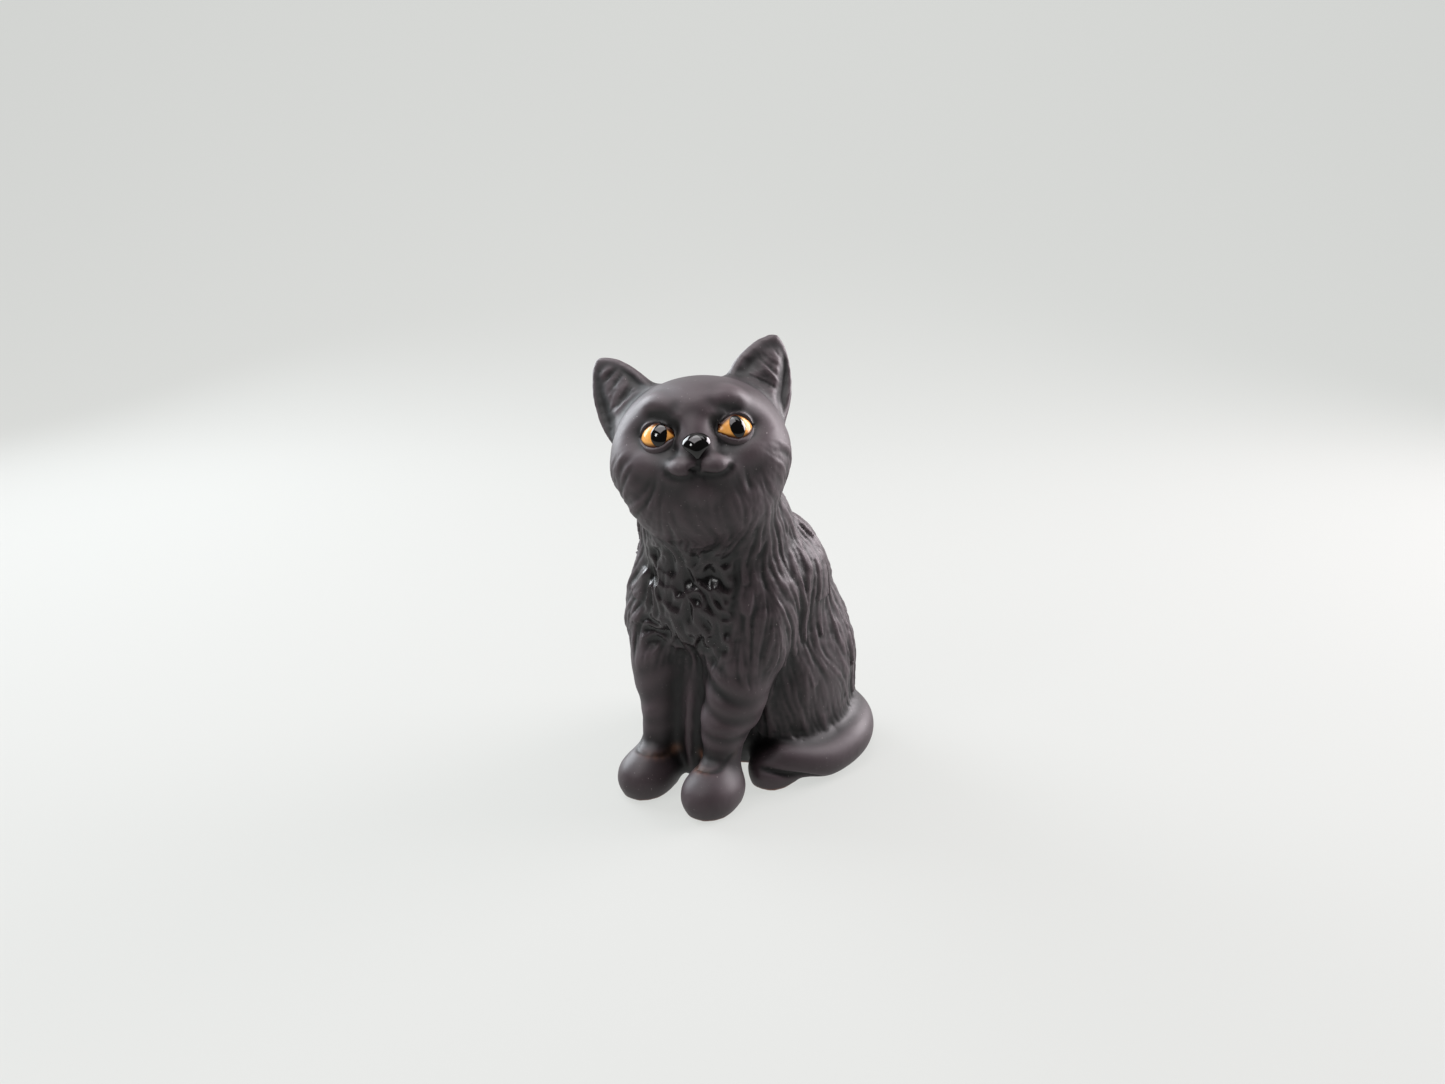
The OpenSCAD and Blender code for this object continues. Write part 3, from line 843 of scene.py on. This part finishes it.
def black_enamel():
    """Glossy black overglaze enamel of the pupils and the nose, with sharp reflections."""
    mat, tree, out = new_material("black_enamel")
    shader = add(tree, "ShaderNodeBsdfPrincipled", {
        "Base Color": colour("#060505"), "Roughness": 0.07, "IOR": 1.5})
    tree.links.new(shader.outputs[0], out.inputs["Surface"])
    return mat


def amber_enamel():
    """Glossy amber overglaze enamel, brushed on unevenly, with a dark line where the lids close round it."""
    mat, tree, out = new_material("amber_enamel")
    where = add(tree, "ShaderNodeTexCoord").outputs["Object"]
    edge = add(tree, "ShaderNodeAttribute", attribute_name="edge").outputs["Fac"]
    brushed = add(tree, "ShaderNodeTexNoise", {
        "Vector": where, "Scale": BRUSH_SCALE, "Detail": 3.0}).outputs["Fac"]
    amber = add(tree, "ShaderNodeMix", {
        "Factor": brushed, 6: colour("#c98237"), 7: colour("#e4ab60")}, data_type="RGBA").outputs[2]
    lined = add(tree, "ShaderNodeMix", {
        "Factor": edge, 6: amber, 7: colour("#3a1a06")}, data_type="RGBA").outputs[2]
    shader = add(tree, "ShaderNodeBsdfPrincipled", {
        "Base Color": lined, "Roughness": 0.18, "Specular IOR Level": 0.2, "IOR": 1.5})
    tree.links.new(shader.outputs[0], out.inputs["Surface"])
    return mat


def bare_bisque():
    """Unglazed fired clay of the underside: pale, dry and without a shine."""
    mat, tree, out = new_material("bare_bisque")
    shader = add(tree, "ShaderNodeBsdfPrincipled", {"Base Color": colour("#b9a893"), "Roughness": 0.85})
    tree.links.new(shader.outputs[0], out.inputs["Surface"])
    return mat


def glowing_paper():
    """Matt white paper lit from behind as well as by the lamps, which keeps it pale and even."""
    mat, tree, out = new_material("glowing_paper")
    shader = add(tree, "ShaderNodeBsdfPrincipled", {
        "Base Color": colour("#515150"), "Roughness": 0.9, "Specular IOR Level": 0.1,
        "Emission Color": colour("#fdfffc"), "Emission Strength": 0.61})
    tree.links.new(shader.outputs[0], out.inputs["Surface"])
    return mat


GLAZE = satin_glaze()
AMBER = amber_enamel()
BLACK = black_enamel()
BISQUE = bare_bisque()

skin_normals = clay.normals()
for name in CASTINGS:
    if name == "base_slab":
        continue    # flat and plain, so its own node is shown
    piece = part_casting(clay, name, {"thin_glaze_and_painted_light": thin_glaze_and_painted_light, "wiped": wiped, "chest": chest}, skin_normals)
    piece.data.materials.append(GLAZE)
    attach(piece, "root")
    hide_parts(name)

nodes["base_slab"].data.materials.clear()
nodes["base_slab"].data.materials.append(BISQUE)


def enamel_drop(name, node, place, half_w, half_h, ball, thick, material, outline=None, swell=0.0, shift=0.0):
    """A lens of enamel that follows a ball: a sphere pressed to the outline and laid on the ball.
    The outline is an oval of half_w and half_h unless another is given. Swell raises the middle."""
    at, across, up, out = place
    bpy.ops.mesh.primitive_uv_sphere_add(segments=64, ring_count=40, radius=1)
    obj = bpy.context.active_object
    obj.name = name
    me = obj.data
    q = np.zeros(len(me.vertices) * 3)
    me.vertices.foreach_get("co", q)
    q = q.reshape(-1, 3)
    away = np.clip(np.hypot(q[:, 0], q[:, 1]), 0, 1)
    turn = np.arctan2(q[:, 1], q[:, 0])
    # Rings at equal steps over the face rather than crowded at its rim.
    even = np.where(away > 0.999, 1, np.arcsin(away) / (math.pi / 2))
    if outline is None:
        a, b = half_w * even * np.cos(turn) + shift, half_h * even * np.sin(turn)
    else:
        a, b = outline(even, turn)
    front = np.sqrt(np.maximum(ball ** 2 - a ** 2 - b ** 2, 0.1))
    depth = front + np.where(q[:, 2] < -0.001, -thick, swell * (1 - even ** 4))
    spot = at + a[:, None] * across + b[:, None] * up + depth[:, None] * out
    me.vertices.foreach_set("co", (spot * MM).ravel())
    set_vertex_value(me, "edge", smooth_step(almond(a, b), 0.6, 1.0))
    me.polygons.foreach_set("use_smooth", [True] * len(me.polygons))
    me.materials.append(material)
    only(obj)
    bpy.ops.object.mode_set(mode="EDIT")
    bpy.ops.mesh.select_all(action="SELECT")
    bpy.ops.mesh.remove_doubles(threshold=0.000005)
    bpy.ops.mesh.normals_make_consistent(inside=False)
    bpy.ops.object.mode_set(mode="OBJECT")
    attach(obj, "root")
    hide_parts(node)


# How far each pupil is from the middle of its eye, towards the cat's right.
GAZE = {1: 0.3, -1: -1.9}

for side, label in ((1, "left"), (-1, "right")):
    enamel_drop(f"{label}_iris_enamel", f"{label}_iris", eye_frame(side), 6.1, 4.9, EYE_BALL, 1.2,
                AMBER)
    enamel_drop(f"{label}_pupil_enamel", f"{label}_pupil", eye_frame(side), 2.55, 3.65, EYE_BALL + 0.06, 0.5,
                BLACK, swell=0.25, shift=GAZE[side])
enamel_drop("nose_pad_enamel", "nose_enamel", nose_frame(), NOSE_W / 2, NOSE_H / 2, NOSE_BALL, 2.0,
            BLACK, outline=nose_outline, swell=0.5)


# ---- Paper, lights and camera ----

# The camera looks down by one angle, and stands round to the figure's left by the other.
CAMERA_DIP, CAMERA_TURN = math.radians(18), math.radians(30)


def paper_sweep(turn, flat, bend, top, half_w):
    """One sheet of paper that lies flat under the figure and curves up behind it, square to the camera."""
    arc = [(flat + bend * math.sin(a), bend - bend * math.cos(a)) for a in np.linspace(0, math.pi / 2, 33)]
    profile = [(-half_w, 0), (-0.6, 0), (0, 0)] + arc + [(flat + bend, top)]
    ahead = Vector((-math.sin(turn), math.cos(turn), 0))
    across = Vector((math.cos(turn), math.sin(turn), 0))
    points = [ahead * u + across * side + Vector((0, 0, z)) for u, z in profile for side in (-half_w, half_w)]
    faces = [(2 * k, 2 * k + 1, 2 * k + 3, 2 * k + 2) for k in range(len(profile) - 1)]
    me = bpy.data.meshes.new("paper_sweep")
    me.from_pydata(points, [], faces)
    me.polygons.foreach_set("use_smooth", [True] * len(faces))
    me.materials.append(glowing_paper())
    sheet = bpy.data.objects.new("paper_sweep", me)
    bpy.context.scene.collection.objects.link(sheet)


paper_sweep(CAMERA_TURN, flat=0.5, bend=0.9, top=3.0, half_w=3.0)


def lamp(name, at, aim, size, power, tint=(1, 1, 1), spread=180):
    """An area lamp: place, aim and size in metres, power in watts, spread in degrees."""
    data = bpy.data.lights.new(name, "AREA")
    data.shape = "RECTANGLE"
    data.size, data.size_y = size
    data.energy = power
    data.color = tint
    data.spread = math.radians(spread)
    obj = bpy.data.objects.new(name, data)
    obj.location = at
    obj.rotation_euler = (Vector(aim) - Vector(at)).to_track_quat("-Z", "Y").to_euler()
    bpy.context.scene.collection.objects.link(obj)


lamp("softbox_left", (-0.74, 0.1, 0.44), (0, 0, 0.08), (0.6, 0.6), 7, (0.9, 0.95, 1.0), 130)
lamp("softbox_right", (0.5, 0.64, 0.44), (0, 0, 0.08), (0.6, 0.6), 9, (1.0, 0.93, 0.97), 130)
lamp("softbox_top", (-0.1, -0.2, 0.95), (0, 0, 0.08), (0.8, 0.8), 8.5, (1.0, 0.96, 0.98))
lamp("window", (-0.22, -0.75, 0.62), (0, 0, 0.1), (0.16, 0.2), 1.8)
lamp("backdrop_light", (-0.1, 0.35, 1.5), (-0.75, 1.3, 0.5), (1.2, 1.2), 12)

world = bpy.data.worlds.new("room")
bpy.context.scene.world = world
world.use_nodes = True
world.node_tree.nodes["Background"].inputs["Color"].default_value = (1, 1, 1, 1)
world.node_tree.nodes["Background"].inputs["Strength"].default_value = 0.07
bpy.context.scene.view_settings.view_transform = "Standard"

camera_data = bpy.data.cameras.new("camera")
camera_data.sensor_width = 36
camera_data.lens = 27.03
camera_data.clip_start = 0.01
camera = bpy.data.objects.new("camera", camera_data)
camera.location = (0.182, -0.3222, 0.2046)
camera.rotation_euler = (math.pi / 2 - CAMERA_DIP, 0, CAMERA_TURN)
bpy.context.scene.collection.objects.link(camera)
bpy.context.scene.camera = camera
